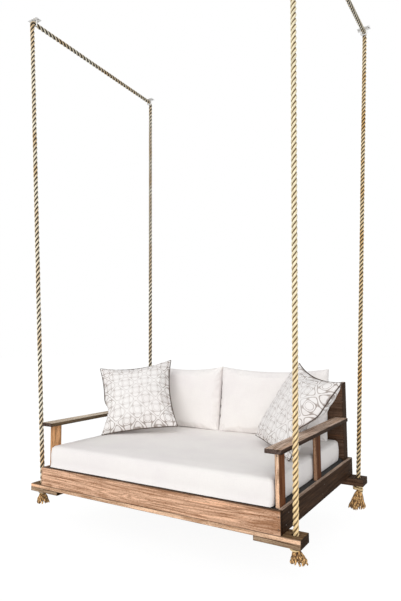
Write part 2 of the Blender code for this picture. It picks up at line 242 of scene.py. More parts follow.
class Graph:
    """Short calls that add and join the nodes of one material, or of the world."""

    def __init__(self, name, world=False):
        self.owner = bpy.data.worlds.new(name) if world else bpy.data.materials.new(name)
        self.owner.use_nodes = True
        self.tree = self.owner.node_tree
        self.shader = self.tree.nodes.get("Principled BSDF")

    def put(self, socket, value):
        if isinstance(value, bpy.types.NodeSocket):
            self.tree.links.new(value, socket)
        elif value is not None:
            socket.default_value = value

    def node(self, kind, inputs=(), **settings):
        """A new node's outputs. inputs has what its sockets get, by name or in their order."""
        made = self.tree.nodes.new(kind)
        for key, value in settings.items():
            setattr(made, key, value)
        for key, value in inputs.items() if isinstance(inputs, dict) else enumerate(inputs):
            self.put(made.inputs[key], value)
        return made.outputs

    def math(self, operation, *values):
        return self.node("ShaderNodeMath", values, operation=operation)[0]

    def times(self, a, b):
        return self.math("MULTIPLY", a, b)

    def fitted(self, value, share, least):
        """value times share, plus least."""
        return self.math("MULTIPLY_ADD", value, share, least)

    def vector(self, operation, *values):
        return self.node("ShaderNodeVectorMath", values, operation=operation)[0]

    def split(self, vector):
        return self.node("ShaderNodeSeparateXYZ", [vector])

    def join(self, x, y):
        return self.node("ShaderNodeCombineXYZ", [x, y])[0]

    def coordinates(self, kind):
        return self.node("ShaderNodeTexCoord")[kind]

    def noise(self, vector, scale, detail=2.0, roughness=0.5, distortion=0.0):
        return self.node("ShaderNodeTexNoise", {"Vector": vector, "Scale": scale, "Detail": detail,
                                                "Roughness": roughness, "Distortion": distortion})["Fac"]

    def cells(self, vector, output):
        return self.node("ShaderNodeTexVoronoi", {"Vector": vector, "Scale": 1.0})[output]

    def step(self, value, low, high, out_low=0.0, out_high=1.0):
        return self.node("ShaderNodeMapRange", [value, low, high, out_low, out_high],
                         interpolation_type="SMOOTHSTEP")[0]

    def toned(self, light, value, tone):
        return self.times(light, self.step(value, *tone))

    def mix(self, factor, a, b, blend="MIX"):
        a, b = ((*colour, 1.0) if isinstance(colour, tuple) else colour for colour in (a, b))
        return self.node("ShaderNodeMix", {0: factor, 6: a, 7: b}, data_type="RGBA", blend_type=blend)[2]

    def scaled(self, colour, factor):
        return self.node("ShaderNodeVectorMath", {0: colour, "Scale": factor}, operation="SCALE")[0]

    def bump(self, height, distance, strength):
        return self.node("ShaderNodeBump", {"Height": height, "Distance": distance,
                                            "Strength": strength})[0]

    def ridges(self, value):
        """Rounded ridges, one for each whole number."""
        return self.math("ABSOLUTE", self.math("SINE", self.times(value, pi)))

    def finish(self, colour, roughness, normal=None, **fixed):
        for key, value in {"Base_Color": colour, "Roughness": roughness, "Normal": normal, **fixed}.items():
            self.put(self.shader.inputs[key.replace("_", " ")], value)
        return self.owner


seed_steps = (3.7, 5.3, 7.9)
knot_cells = (7.0, 1.9)
knot_halo = (0.0, 0.34, 1.0, 0.0)
knot_heart = (0.04, 0.13, 1.0, 0.0)
knot_light = (-0.74, 1.0)
ring_noise = (9.0, 0.45, 3.0, 0.55, 0.4)
ring_pull = 0.20
ring_waves = 74.0
ring_edges = (-0.3, 0.95)
ring_light = 1.10
streak_noise, streak_tone = (84.0, 1.5, 4.0, 0.70), (0.36, 0.60, 0.74, 1.18)
fibre_noise, fibre_tone = (190.0, 4.0, 3.0, 0.70), (0.48, 0.64, 1.08, 0.66)
pore_noise, pore_tone = (240.0, 90.0, 3.0, 0.75), (0.53, 0.62, 1.08, 0.62)
patch_noise, patch_tone = (13.0, 1.4, 3.0, 0.6), (0.25, 0.75, 0.86, 1.20)
facing_up, facing_front = (0.55, 0.85), (-0.55, -0.85)
painted_shade_start = 0.6
warm_tint = (1.0, 0.74, 0.52)
warm_dark_edges, warm_patch_edges, warm_share = (0.95, 0.55), (0.50, 0.78), 0.75
edge_noise, edge_wander = (38.0, 3.0), 0.010
edge_dark_band, edge_band_light = (0.004, 0.011), 0.26
grain_heights = (0.4, 0.9, 0.6, -0.8)
wood_roughness, wood_bump, wood_gloss = (0.22, 0.58), (0.0007, 0.7), 0.05


def wood(name, node, along, looks, seed, knots, rim, figure, painted_end_shade):
    """One board's material, along its grain's axis: looks holds its front, top and side colours, which carry
    painted light and shade as well as the wood's own colour.
    """
    g = Graph(name)
    low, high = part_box(node)
    place = g.coordinates("Object")
    shifted = g.vector("ADD", place, tuple(seed * step for step in seed_steps))

    def stretched(across, lengthwise):
        scale = [across, across, across]
        scale[along] = lengthwise
        return g.vector("MULTIPLY", shifted, tuple(scale))

    def grain(across, lengthwise, *settings):
        return g.noise(stretched(across, lengthwise), 1.0, *settings)

    cell_place = stretched(*knot_cells)
    near_knot = g.cells(cell_place, "Distance")
    chosen = g.math("GREATER_THAN", g.split(g.cells(cell_place, "Color"))[0], 1.0 - knots)
    halo = g.times(g.step(near_knot, *knot_halo), chosen)
    heart = g.times(g.step(near_knot, *knot_heart), chosen)
    field = g.fitted(halo, ring_pull, grain(*ring_noise))
    rings = g.step(g.math("SINE", g.times(field, ring_waves)), *ring_edges)
    streaks, fibres = grain(*streak_noise), grain(*fibre_noise)
    pores, patches = grain(*pore_noise), grain(*patch_noise)
    # Painted light and shade: faces turned to the front get the front colour, faces turned up the top colour,
    # and the rest the side colour, which is painted in shade.
    facing = g.split(g.coordinates("Normal"))
    front, top, side = looks
    base = g.mix(g.step(facing[2], *facing_up), side, top)
    base = g.mix(g.step(facing[1], *facing_front), base, front)
    light = g.fitted(rings, -figure, ring_light)
    for mask, tone in ((patches, patch_tone), (streaks, streak_tone), (fibres, fibre_tone),
                       (pores, pore_tone)):
        light = g.toned(light, mask, tone)
    light = g.times(light, g.fitted(heart, *knot_light))
    # Painted shade: the board is painted darker towards the far end of its grain.
    painted_shade_from = low[along] + (high[along] - low[along]) * painted_shade_start
    light = g.times(light, g.step(g.split(place)[along], painted_shade_from, high[along], 1.0, 1.0 - painted_end_shade))
    warm = g.scaled(g.mix(1.0, base, warm_tint, "MULTIPLY"), light)
    reddened = g.math("MAXIMUM", g.step(light, *warm_dark_edges), g.step(patches, *warm_patch_edges))
    colour = g.mix(g.times(reddened, warm_share), g.scaled(base, light), warm)
    # Each board darkens in a thin ragged band along its edges.
    centre, half = (low + high) / 2, (high - low) / 2
    from_centre = g.vector("ABSOLUTE", g.vector("SUBTRACT", place, tuple(centre)))
    x, y, z = g.split(g.vector("SUBTRACT", tuple(half), from_centre))
    least = g.math("MINIMUM", x, g.math("MINIMUM", y, z))
    most = g.math("MAXIMUM", x, g.math("MAXIMUM", y, z))
    total = g.math("ADD", x, g.math("ADD", y, z))
    from_edge = g.math("SUBTRACT", g.math("SUBTRACT", total, least), most)
    ragged = g.fitted(g.noise(shifted, *edge_noise), edge_wander, from_edge)
    colour = g.mix(g.step(ragged, *edge_dark_band, rim, 0.0), colour, g.scaled(base, edge_band_light))
    relief = 0.0
    for mask, height in zip((rings, fibres, streaks, heart), grain_heights):
        relief = g.fitted(mask, height, relief)
    return g.finish(colour, g.fitted(fibres, *wood_roughness), g.bump(relief, *wood_bump),
                    Specular_IOR_Level=wood_gloss)


yarn_slope, yarns_per_strand = 0.85, 7.0
yarn_tone_waves, yarn_tone_noise, yarn_tone = (3.7, 9.0), (1.0, 2.0, 0.6), (0.30, 0.72, 0.84, 1.18)
hair_waves, hair_noise, hair_tone = (190.0, 130.0), (1.0, 3.0, 0.65), (0.35, 0.75, 1.10, 0.86)
ridge_painted_shade = (0.16, 0.90)
stain_noise, stain_edges = (5.0, 3.0, 0.6), (0.35, 0.70)
golden_rise, golden_fall = 1.3, 0.35
groove_floor, groove_shade_most = 0.35, 0.97
rope_hair_height, rope_roughness, rope_bump = 0.5, (0.20, 0.68), (0.0011, 0.8)


def manila(name, hand, straw, gold, groove_shade, golden_share, groove, golden_below):
    """Laid rope: the UV's whole numbers run across the strands and its second value along the rope."""
    g = Graph(name)
    u, v, _ = g.split(g.coordinates("UV"))
    lateral = g.math("FRACT", u)
    from_groove = g.math("MINIMUM", lateral, g.math("SUBTRACT", 1.0, lateral))
    yarn_place = g.fitted(v, yarn_slope * strands / lay_lengths[hand], u)
    yarns = g.times(yarn_place, yarns_per_strand)
    ridge = g.ridges(yarns)
    tone_place = g.join(g.times(g.math("FLOOR", yarns), yarn_tone_waves[0]), g.times(v, yarn_tone_waves[1]))
    hair_place = g.join(g.times(yarn_place, hair_waves[0]), g.times(v, hair_waves[1]))
    hair = g.noise(hair_place, *hair_noise)
    place = g.coordinates("Object")
    weathered = g.step(g.split(place)[2], golden_below + golden_rise, golden_below - golden_fall)
    stained = g.times(g.step(g.noise(place, *stain_noise), *stain_edges), golden_share)
    # Painted shade: each strand's yarns are painted lighter on their crests and darker between them.
    light = g.toned(g.fitted(ridge, *ridge_painted_shade), g.noise(tone_place, *yarn_tone_noise), yarn_tone)
    light = g.toned(light, hair, hair_tone)
    colour = g.scaled(g.mix(g.math("MAXIMUM", stained, weathered), straw, gold), light)
    # Painted shade: the colour darkens to the groove colour in the grooves between the strands.
    groove_shade_mask = g.step(from_groove, groove * groove_floor, groove, groove_shade_most, 0.0)
    relief = g.fitted(hair, rope_hair_height, ridge)
    return g.finish(g.mix(groove_shade_mask, colour, groove_shade), g.fitted(hair, *rope_roughness),
                    g.bump(relief, *rope_bump))


yarn_twist = (55.0, 2.0)
yarn_stretch, yarn_gap_shade_noise, yarn_gap_shade_edges = (1.0, 1.0, 0.25), (120.0, 2.0, 0.6), (0.40, 0.62)
yarn_gap_shade, yarn_golden = (0.085, 0.035, 0.010), (0.90, 0.54, 0.22)
yarn_hair_waves, yarn_hair_tone = (40.0, 260.0), (0.35, 0.75, 1.15, 0.80)
yarn_ridge_painted_shade, yarn_hair_height, yarn_bump = (0.45, 0.62), 0.4, (0.0009, 0.8)


def yarn_look(name):
    """Unlaid yarns of a tassel: the UV runs round the yarn and along it, in metres."""
    g = Graph(name)
    u, v, _ = g.split(g.coordinates("UV"))
    twist = g.fitted(v, yarn_twist[0], g.times(u, yarn_twist[1]))
    ridge = g.ridges(twist)
    # Painted shade: dark streaks through the tassel paint the shade in the gaps between its yarns.
    gap_shade_place = g.vector("MULTIPLY", g.coordinates("Object"), yarn_stretch)
    colour = g.mix(g.step(g.noise(gap_shade_place, *yarn_gap_shade_noise), *yarn_gap_shade_edges), yarn_gap_shade, yarn_golden)
    hair_place = g.join(g.times(twist, yarn_hair_waves[0]), g.times(v, yarn_hair_waves[1]))
    hair = g.noise(hair_place, *hair_noise)
    # Painted shade: each yarn is painted lighter on the crests of its twist and darker in the troughs.
    light = g.toned(g.fitted(ridge, *yarn_ridge_painted_shade), hair, yarn_hair_tone)
    relief = g.fitted(hair, yarn_hair_height, ridge)
    return g.finish(g.scaled(colour, light), g.fitted(hair, *rope_roughness), g.bump(relief, *yarn_bump))


trellis_repeat, strap_level, strap_edges = 0.190, 0.45, (0.07, 0.24, 1.0, 0.0)


def trellis(g, u, v):
    """A quatrefoil lattice of soft straps, as a mask that is one on a strap."""
    x, y = (g.times(value, 2 * pi / trellis_repeat) for value in (u, v))
    double_x, double_y = (g.math("COSINE", g.times(value, 2.0)) for value in (x, y))
    field = g.times(g.math("COSINE", x), double_y)
    field = g.math("MULTIPLY_ADD", double_x, g.math("COSINE", y), field)
    from_line = g.math("SUBTRACT", g.math("ABSOLUTE", field), strap_level)
    return g.step(g.math("ABSOLUTE", from_line), *strap_edges)


white_weave, piping_weave = 0.0022, 0.0012
slub_waves, slub_light, thread_light = (420.0, 12.0), (0.07, 0.93), (0.025, 0.985)
shade_noise, shade_edges = (3.2, 3.0, 0.55), (0.30, 0.72)
drift_noise, drift_share = (7.0, 1.0), (0.040, -0.020)
rim_shade_edges, rim_shade_strength = (0.03, 0.16, 1.0, 0.0), (0.45, 0.55)
print_noise, print_wear = (46.0, 2.0), (0.25, 0.6, 0.60, 1.0)
slub_height, thread_height, cloth_bump = 0.8, 0.5, (0.0005, 0.5)
cloth_roughness, cloth_sheen, cloth_sheen_roughness, cloth_gloss = 0.9, 0.12, 0.6, 0.25


def cloth(name, colour, shade, pattern=None, weave=white_weave):
    """Woven cover: the UV is in metres from the piece's middle. pattern is a line colour or nothing."""
    g = Graph(name)
    u, v, _ = g.split(g.coordinates("UV"))
    place = g.coordinates("Object")
    threads = g.times(*(g.math("SINE", g.times(value, 2 * pi / weave)) for value in (u, v)))
    slubs = g.math("ADD", *(g.noise(g.join(g.times(u, a), g.times(v, b)), 1.0, 2.0)
                            for a, b in (slub_waves, slub_waves[::-1])))
    base = g.mix(g.step(g.noise(place, *shade_noise), *shade_edges), colour, shade)
    light = g.times(g.fitted(slubs, *slub_light), g.fitted(threads, *thread_light))
    if pattern is not None:
        drift = g.fitted(g.noise(place, *drift_noise), *drift_share)
        lines = trellis(g, g.math("ADD", u, drift), g.math("SUBTRACT", v, drift))
        # The print is real, but its lines are drawn stronger near the seam as painted shade where the cover
        # turns away.
        from_rim = g.math("MINIMUM", *(g.math("SUBTRACT", size / 2, g.math("ABSOLUTE", value))
                                       for value, size in zip((u, v), pillow_sizes)))
        strength = g.fitted(g.step(from_rim, *rim_shade_edges), *rim_shade_strength)
        strength = g.toned(strength, g.noise(place, *print_noise), print_wear)
        base = g.mix(g.times(lines, strength), base, pattern)
    relief = g.fitted(slubs, slub_height, g.times(threads, thread_height))
    return g.finish(g.scaled(base, light), cloth_roughness, g.bump(relief, *cloth_bump),
                    Sheen_Weight=cloth_sheen, Sheen_Roughness=cloth_sheen_roughness,
                    Specular_IOR_Level=cloth_gloss)


peel_noise, grime_noise = (420.0, 2.0, 0.5), (30.0, 3.0)
chip_noise, chip_edges = (95.0, 4.0, 0.7), (0.74, 0.80)
paint, worn_paint, bare_steel = (0.95, 0.95, 0.94), (0.88, 0.88, 0.87), (0.30, 0.29, 0.28)
chip_share, peel_height, paint_roughness, paint_bump = 0.6, 0.3, (0.2, 0.32), (0.0003, 0.5)


def painted_steel(name):
    g = Graph(name)
    place = g.coordinates("Object")
    chips = g.step(g.noise(place, *chip_noise), *chip_edges)
    grime = g.noise(place, *grime_noise)
    colour = g.mix(g.times(chips, chip_share), g.mix(grime, paint, worn_paint), bare_steel)
    relief = g.math("SUBTRACT", g.times(g.noise(place, *peel_noise), peel_height), chips)
    return g.finish(colour, g.fitted(grime, *paint_roughness), g.bump(relief, *paint_bump))


rust_noise, dark_steel, brown_steel = (320.0, 3.0, 0.6), (0.06, 0.042, 0.030), (0.17, 0.125, 0.095)
screw_roughness, screw_bump, screw_metal = (0.3, 0.30), (0.0002, 0.5), 0.6


def screw_steel(name):
    g = Graph(name)
    stain = g.noise(g.coordinates("Object"), *rust_noise)
    return g.finish(g.mix(stain, dark_steel, brown_steel), g.fitted(stain, *screw_roughness),
                    g.bump(stain, *screw_bump), Metallic=screw_metal)


# Colours of the black sheet that paints the shade under the mattress.
shade_sheet_noise, shade_sheet_tone_noise, shade_sheet_light = (700.0, 2.0, 0.7), (9.0, 3.0), (0.6, 0.7)
shade_sheet_dark, shade_sheet_pale = (0.018, 0.017, 0.017), (0.035, 0.033, 0.032)
shade_sheet_roughness, shade_sheet_bump = 0.95, (0.0004, 0.6)


def shade_sheet_material(name):
    g = Graph(name)
    place = g.coordinates("Object")
    fibres = g.noise(place, *shade_sheet_noise)
    colour = g.mix(g.noise(place, *shade_sheet_tone_noise), shade_sheet_dark, shade_sheet_pale)
    return g.finish(g.scaled(colour, g.fitted(fibres, *shade_sheet_light)), shade_sheet_roughness,
                    g.bump(fibres, *shade_sheet_bump))


# Meshes

def added(name, data):
    obj = bpy.data.objects.new(name, data)
    bpy.context.scene.collection.objects.link(obj)
    return obj


def new_mesh(name, points, faces):
    mesh = bpy.data.meshes.new(name)
    mesh.from_pydata([tuple(point) for point in points], [], [tuple(face) for face in faces])
    return mesh


def piece(name, points, faces, look, body=None, uvs=None, smooth=True):
    mesh = new_mesh(name, points, faces)
    if uvs is not None:
        layer = mesh.uv_layers.new(name="UVMap")
        layer.data.foreach_set("uv", np.asarray(uvs, np.float32).ravel())
    mesh.materials.append(look)
    if smooth:
        mesh.shade_smooth()
    obj = added(name, mesh)
    if body is not None:
        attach(obj, body)
    return obj


def bmesh_piece(name, bm, look, body):
    mesh = bpy.data.meshes.new(name)
    bm.to_mesh(mesh)
    bm.free()
    mesh.materials.append(look)
    obj = added(name, mesh)
    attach(obj, body)
    return obj


def tube_cells(rows, columns, first=0):
    """Faces of a tube of rings, its points counted from first."""
    index = first + np.arange(rows * columns).reshape(rows, columns)
    turned = np.roll(index, -1, axis=1)
    return np.stack([index[:-1], turned[:-1], turned[1:], index[1:]], -1).reshape(-1, 4)


def tube_faces(rows, columns, first=0):
    """The same faces with both ends closed."""
    last = first + (rows - 1) * columns
    return [*map(tuple, tube_cells(rows, columns, first)),
            tuple(range(first + columns - 1, first - 1, -1)), tuple(range(last, last + columns))]


def tube_uvs(across, along, end):
    """UVs of the closed tube: across has one value more than a ring has points, end is for its ends."""
    left, right = across[None, :-1], across[None, 1:]
    low, high = along[:-1, None], along[1:, None]
    corners = np.broadcast_arrays(left, low, right, low, right, high, left, high)
    ends = np.full((2 * left.size, 2), end)
    return np.concatenate([np.stack(corners, -1).reshape(-1, 2), ends])


def distance_along(path):
    return np.concatenate([[0], np.cumsum(np.linalg.norm(np.diff(path, axis=0), axis=1))])


def spaced(points, step):
    """Points along a line at even steps, its first and last points kept."""
    points = np.asarray(points, float)
    reach = distance_along(points)
    where = np.linspace(0, reach[-1], max(2, round(reach[-1] / step) + 1))
    return np.stack([np.interp(where, reach, points[:, axis]) for axis in range(3)], -1)


def tube_rings(path, angles, radii):
    """Rings round a path without twist. angles and radii have a row for each point of the path."""
    tangents = np.gradient(path, axis=0)
    tangents /= np.linalg.norm(tangents, axis=1)[:, None]
    aside = (0.0, 1.0, 0.0) if abs(tangents[0][1]) < upright_share else (1.0, 0.0, 0.0)
    start = np.cross(tangents[0], aside)
    normals = [start / np.linalg.norm(start)]
    for tangent in tangents[1:]:
        normal = normals[-1] - tangent * np.dot(normals[-1], tangent)
        normals.append(normal / np.linalg.norm(normal))
    normals = np.array(normals)
    others = np.cross(tangents, normals)
    return (path[:, None, :] + normals[:, None, :] * (np.cos(angles) * radii)[..., None]
            + others[:, None, :] * (np.sin(angles) * radii)[..., None])


def laid_rings(path, shares, lay):
    """The rings of a three-strand rope round a path. shares scales each ring's radius."""
    along = distance_along(path)
    lobes = np.radians(np.array(lobe_angles, float))
    offset = rope_radius - strand_radius
    profile = offset * np.cos(lobes) + np.sqrt(strand_radius ** 2 - (offset * np.sin(lobes)) ** 2)
    angles = np.concatenate([lobes + strand * 2 * pi / strands for strand in range(strands)])
    phases = along[:, None] * wear_waves + np.repeat(np.arange(strands), len(lobes)) * wear_shift
    radii = np.tile(profile, strands)[None, :] * shares[:, None] * (1 + rope_wear * np.sin(phases))
    return tube_rings(path, (2 * pi * along / lay)[:, None] + angles[None, :], radii), along


def rope_piece(name, rings, along, look, body=None):
    lobes = (np.array(lobe_angles, float) + half_lobe) / (2 * half_lobe)
    across = np.concatenate([lobes + strand for strand in range(strands)] + [[float(strands)]])
    uvs = tube_uvs(across, along, (0.5, along[0]))
    return piece(name, rings.reshape(-1, 3), tube_faces(*rings.shape[:2]), look, body, uvs)


# Ropes

front_hook, rear_hook = joint_place("swing"), joint_place("rear_ropes_swing")
front_hole = joint_place("bed_tilt")
hook_z = front_hook.z
bend_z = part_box("left_ceiling_run")[1].z - rope_radius - bend_radius


def bend(x, hook, inward):
    """A quarter turn over a stirrup, from the fall's top to the level run."""
    return [Vector((x, hook.y + inward * bend_radius * (1 - cos(angle)), bend_z + bend_radius * sin(angle)))
            for angle in (pi / 2 * step / bend_steps for step in range(bend_steps + 1))]


def round_end(along, length):
    """How far the rope's end is rounded, as a share of its radius at each ring."""
    left = np.clip(np.minimum(along, length - along) / rope_radius, least_end_share, 1)
    return np.sqrt(1 - (1 - left) ** 2)


def make_side_rope(side, hand):
    hole_x = side * middle_of("front_right_rope_end").x
    front_x = side * middle_of("front_right_plate").x
    rear_x = side * middle_of("rear_right_plate").x
    hooks = [Vector((front_x, front_hook.y, hook_z)), Vector((rear_x, rear_hook.y, hook_z))]
    holes = [Vector((hole_x, front_hole.y, base_z)), Vector((hole_x, -front_hole.y, base_z))]
    ends = [hole + (hole - hook).normalized() * rope_radius for hole, hook in zip(holes, hooks)]
    over = bend(front_x, hooks[0], 1) + bend(rear_x, hooks[1], -1)[::-1]
    parts = [spaced([ends[0], hooks[0]], ring_step), spaced([hooks[0], *over, hooks[1]], ring_step),
             spaced([hooks[1], ends[1]], ring_step)]
    path = np.concatenate([parts[0], parts[1][1:], parts[2][1:]])
    along = distance_along(path)
    rings, along = laid_rings(path, round_end(along, along[-1]), lay_lengths[hand])
    cuts = [0, len(parts[0]) - 1, len(parts[0]) + len(parts[1]) - 2, len(path) - 1]
    pieces = (("front_%s_rope" % hand, "front_%s_fall" % hand, "front_ropes", 0),
              ("%s_rope_over" % hand, "%s_ceiling_run" % hand, "ceiling", 1),
              ("rear_%s_rope" % hand, "rear_%s_fall" % hand, "rear_ropes", 2))
    for name, node, body, part in pieces:
        first, last = cuts[part], cuts[part + 1] + 1
        made = rope_piece(name, rings[first:last], along[first:last], rope_looks[(hand, part)],
                          "ceiling" if body == "ceiling" else None)
        if body != "ceiling":
            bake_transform(made)
        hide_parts(node)


def knot_path(place, coil_radius, turns, start, knot_bottom, end_z):
    """Down through the beam, round in one tight coil and straight on inside the tassel."""
    points = [place - Vector((0, 0, drop)) for drop in (stub_depth, coil_top)]
    for step in range(1, coil_steps):
        share = step / coil_steps
        swell = coil_radius * sin(pi * share) ** coil_power
        angle = start - 2 * pi * turns * share
        drop = coil_start + (knot_bottom - coil_start) * share
        points.append(place + Vector((swell * cos(angle), swell * sin(angle), -drop)))
    points.append(place + Vector((0, 0, -knot_bottom - coil_tail)))
    points.append(Vector((place.x, place.y, end_z)))
    return spaced(points, ring_step * knot_ring_share)


def tassel(name, place, top_z, bottom_z, radius, tilt, yarns, seed):
    """Yarns that fall from the neck, spread and wave, each a thin tapered tube."""
    draws = np.random.RandomState(seed)
    turns = np.linspace(0, 2 * pi, yarn_sides, endpoint=False)
    share = np.linspace(0, 1, yarn_rings)
    tip = np.clip((1 - share) / tip_length, tip_least, 1) ** tip_power
    points, faces, uvs = [], [], []
    for number in range(yarns):
        outer = number % 3 != 2
        angle = 2 * pi * number / yarns + draws.uniform(*turn_jitter)
        inner_share = draws.uniform(*(outer_reach if outer else inner_reach))
        thick = yarn_radius * draws.uniform(*yarn_girth)
        drop = (top_z - bottom_z) * draws.uniform(*(outer_drop if outer else inner_drop))
        phase, phase_2 = draws.uniform(0, 2 * pi, 2)
        swing = yarn_wave * draws.uniform(*wave_share)
        root = neck_radius * neck_share * sqrt(inner_share)
        spread = root + (radius * inner_share - thick - root) * share ** spread_power
        around = angle + yarn_lean * share * sin(phase)
        around += swing / radius * share * np.sin(share * waves_round + phase)
        out = spread + swing * share * np.sin(share * waves_out + phase_2)
        line = np.stack([place.x + out * np.cos(around) + tilt[0] * share,
                         place.y + out * np.sin(around) + tilt[1] * share,
                         top_z - drop * share], -1)
        girth = thick * (root_girth + girth_gain * share) * tip
        points.append(tube_rings(line, turns[None, :], girth[:, None]).reshape(-1, 3))
        faces += tube_faces(yarn_rings, yarn_sides, number * yarn_rings * yarn_sides)
        along = distance_along(line) + number
        uvs.append(tube_uvs(np.linspace(0, 1, yarn_sides + 1), along, (0.5, along[-1])))
    return piece(name, np.concatenate(points), faces, yarns_look, "bed", np.concatenate(uvs))


# Each end: the coil's radius, turns and start angle, the tassel's height, radius, tilt and yarns
rope_ends = (("front_left", 0.021, 1.2, 0.6, 0.066, 0.055, (0.014, -0.004), 42),
             ("front_right", 0.021, 1.2, 2.2, 0.066, 0.055, (0.016, 0.004), 42),
             ("rear_left", 0.031, 1.3, 3.4, 0.135, 0.074, (0.008, 0.006), 66),
             ("rear_right", 0.031, 1.3, 1.4, 0.135, 0.074, (-0.020, -0.006), 66))


def make_rope_ends():
    for seed, (word, coil, turns, start, tassel_height, radius, tilt, yarns) in enumerate(rope_ends):
        node = word + "_rope_end"
        hand = word.split("_")[1]
        place = Vector((*middle_of(node).xy, base_z))
        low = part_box(node)[0].z
        knot_bottom = base_z - low - tassel_height - knot_above_tassel
        path = knot_path(place, coil, turns, start, knot_bottom, low + rope_above_tip)
        along = distance_along(path)
        below = np.clip((place.z - knot_bottom + knot_above_tassel - path[:, 2]) / core_fade, 0, 1)
        shares = (1 - (1 - core_share) * below) * round_end(along, along[-1])
        rings, along = laid_rings(path, shares, lay_lengths[hand])
        rope = rope_piece(word + "_rope_knot", rings, along, rope_looks[(hand, 0)], "bed")
        top_z = place.z - knot_bottom + tassel_under_knot
        made = tassel(word + "_tassel", place, top_z, low + tassel_above_tip, radius, tilt, yarns,
                      seed + first_tassel_seed)
        for obj in (rope, made):
            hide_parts(node)


# Rope looks: lay, straw, gold and painted groove shade colours, share of gold, groove width, height where
# gold starts
cream, straw, pale_straw = (0.95, 0.88, 0.70), (0.84, 0.68, 0.42), (0.91, 0.82, 0.58)
gold, pale_gold = (0.66, 0.40, 0.14), (0.97, 0.72, 0.38)
# Groove colours: painted shade between the strands.
black_groove_shade, brown_groove_shade = (0.010, 0.005, 0.002), (0.17, 0.10, 0.035)
under_all, lower_part = -5.8, -3.4
left_look = manila("manila_left", "left", cream, gold, black_groove_shade, 0.75, 0.36, under_all)
rear_look = manila("manila_rear", "left", cream, gold, black_groove_shade, 0.75, 0.47, under_all)
right_look = manila("manila_right", "right", straw, gold, black_groove_shade, 1.0, 0.36, under_all)
pale_look = manila("manila_pale", "right", pale_straw, pale_gold, brown_groove_shade, 0.30, 0.28, lower_part)
rope_looks = {("left", 0): left_look, ("left", 1): rear_look, ("left", 2): rear_look,
              ("right", 0): pale_look, ("right", 1): rear_look, ("right", 2): right_look}
yarns_look = yarn_look("tassel_yarns")
make_side_rope(-1, "left")
make_side_rope(1, "right")
make_rope_ends()


# Wood

# Face colours hold painted light and shade over the wood's own tone: fronts and tops are painted lit, and
# sides and ends are painted in shade on top of their darker grain. The lit_ colours are lit copies for the
# left-hand parts. The rear parts, rear posts, back boards and the front rail's top are painted in shade.
pale, pale_edge, pale_block = (0.61, 0.375, 0.248), (0.66, 0.435, 0.29), (0.33, 0.23, 0.15)
rail_top_shadow, beam_top = (0.14, 0.085, 0.055), (0.17, 0.105, 0.055)
dark_shaded_side, dark_shaded_end, warm_shaded_side = (0.042, 0.021, 0.010), (0.026, 0.012, 0.004), (0.120, 0.047, 0.021)
rear_shaded_front, rear_shaded_top, rail_top = (0.10, 0.058, 0.037), (0.060, 0.036, 0.024), (0.40, 0.30, 0.235)
arm_grey, arm_end, arm_shaded_side = (0.50, 0.385, 0.31), (0.095, 0.068, 0.058), (0.050, 0.030, 0.020)
lit_arm, lit_arm_side, lit_post = (0.60, 0.52, 0.42), (0.13, 0.095, 0.060), (0.62, 0.34, 0.165)
post_front, post_shaded_side, slat_front = (0.68, 0.47, 0.33), (0.19, 0.075, 0.030), (0.36, 0.21, 0.13)
rear_post_shaded_front, back_shaded_front = (0.12, 0.075, 0.050), (0.10, 0.060, 0.040)
pine = (0.62, 0.46, 0.29)
# Each row: boards, the grain's axis, front, top and side colours with their painted light and shade, then how
# strong the knots, the dark edges, the rings and the painted shade at the far end are
wood_looks = (
    (("front_rail",), 0, (pale, rail_top_shadow, dark_shaded_end), 0.45, 0.55, 0.34, 0.20),
    (("front_beam",), 0, (pale_edge, beam_top, dark_shaded_end), 0.30, 0.60, 0.30, 0.0),
    (("front_left_block", "front_right_block"), 0, (pale_block, beam_top, dark_shaded_end), 0.40, 0.85, 0.50, 0.0),
    (("rear_rail", "rear_beam", "rear_left_block", "rear_right_block"), 0, (rear_shaded_front, rear_shaded_top, dark_shaded_side),
     0.35, 0.35, 0.30, 0.0),
    (("left_side_rail", "right_side_rail"), 1, (dark_shaded_end, rail_top, dark_shaded_side), 0.35, 0.10, 0.30, 0.0),
    (("right_arm",), 1, (arm_end, arm_grey, arm_shaded_side), 0.20, 0.75, 0.40, 0.15),
    (("left_arm",), 1, (arm_end, lit_arm, lit_arm_side), 0.20, 0.75, 0.45, 0.0),
    (("right_front_post",), 2, (post_front, arm_grey, post_shaded_side), 0.20, 0.75, 0.45, 0.0),
    (("right_middle_slat",), 2, (slat_front, arm_grey, warm_shaded_side), 0.20, 0.60, 0.40, 0.0),
    (("left_front_post", "left_middle_slat"), 2, (lit_post, arm_grey, lit_post), 0.20, 0.60, 0.45, 0.0),
    (("left_rear_post", "right_rear_post"), 2, (rear_post_shaded_front, rail_top, dark_shaded_side), 0.25, 0.40, 0.30, 0.0),
    (["back_board_%d" % number for number in range(1, 5)], 0, (back_shaded_front, rail_top, dark_shaded_side),
     0.35, 0.40, 0.30, 0.0),
    (("front_cleat", "rear_cleat", "centre_bearer"), 0, (pine, pine, pine), 0.50, 0.15, 0.25, 0.0),
    (["seat_slat_%02d" % number for number in range(1, 12)], 1, (pine, pine, pine), 0.50, 0.15, 0.25, 0.0),
)


def dress(node, look):
    obj = frame["nodes"][node]
    obj.data.materials.clear()
    obj.data.materials.append(look)


def dress_frame():
    seed = 0
    for nodes, along, looks, *strengths in wood_looks:
        for node in nodes:
            seed += 1
            dress(node, wood("wood_" + node, node, along, looks, seed, *strengths))
    steel = painted_steel("painted_steel")
    for node in frame["nodes"]:
        if node.endswith(("_plate", "_stirrup")):
            dress(node, steel)


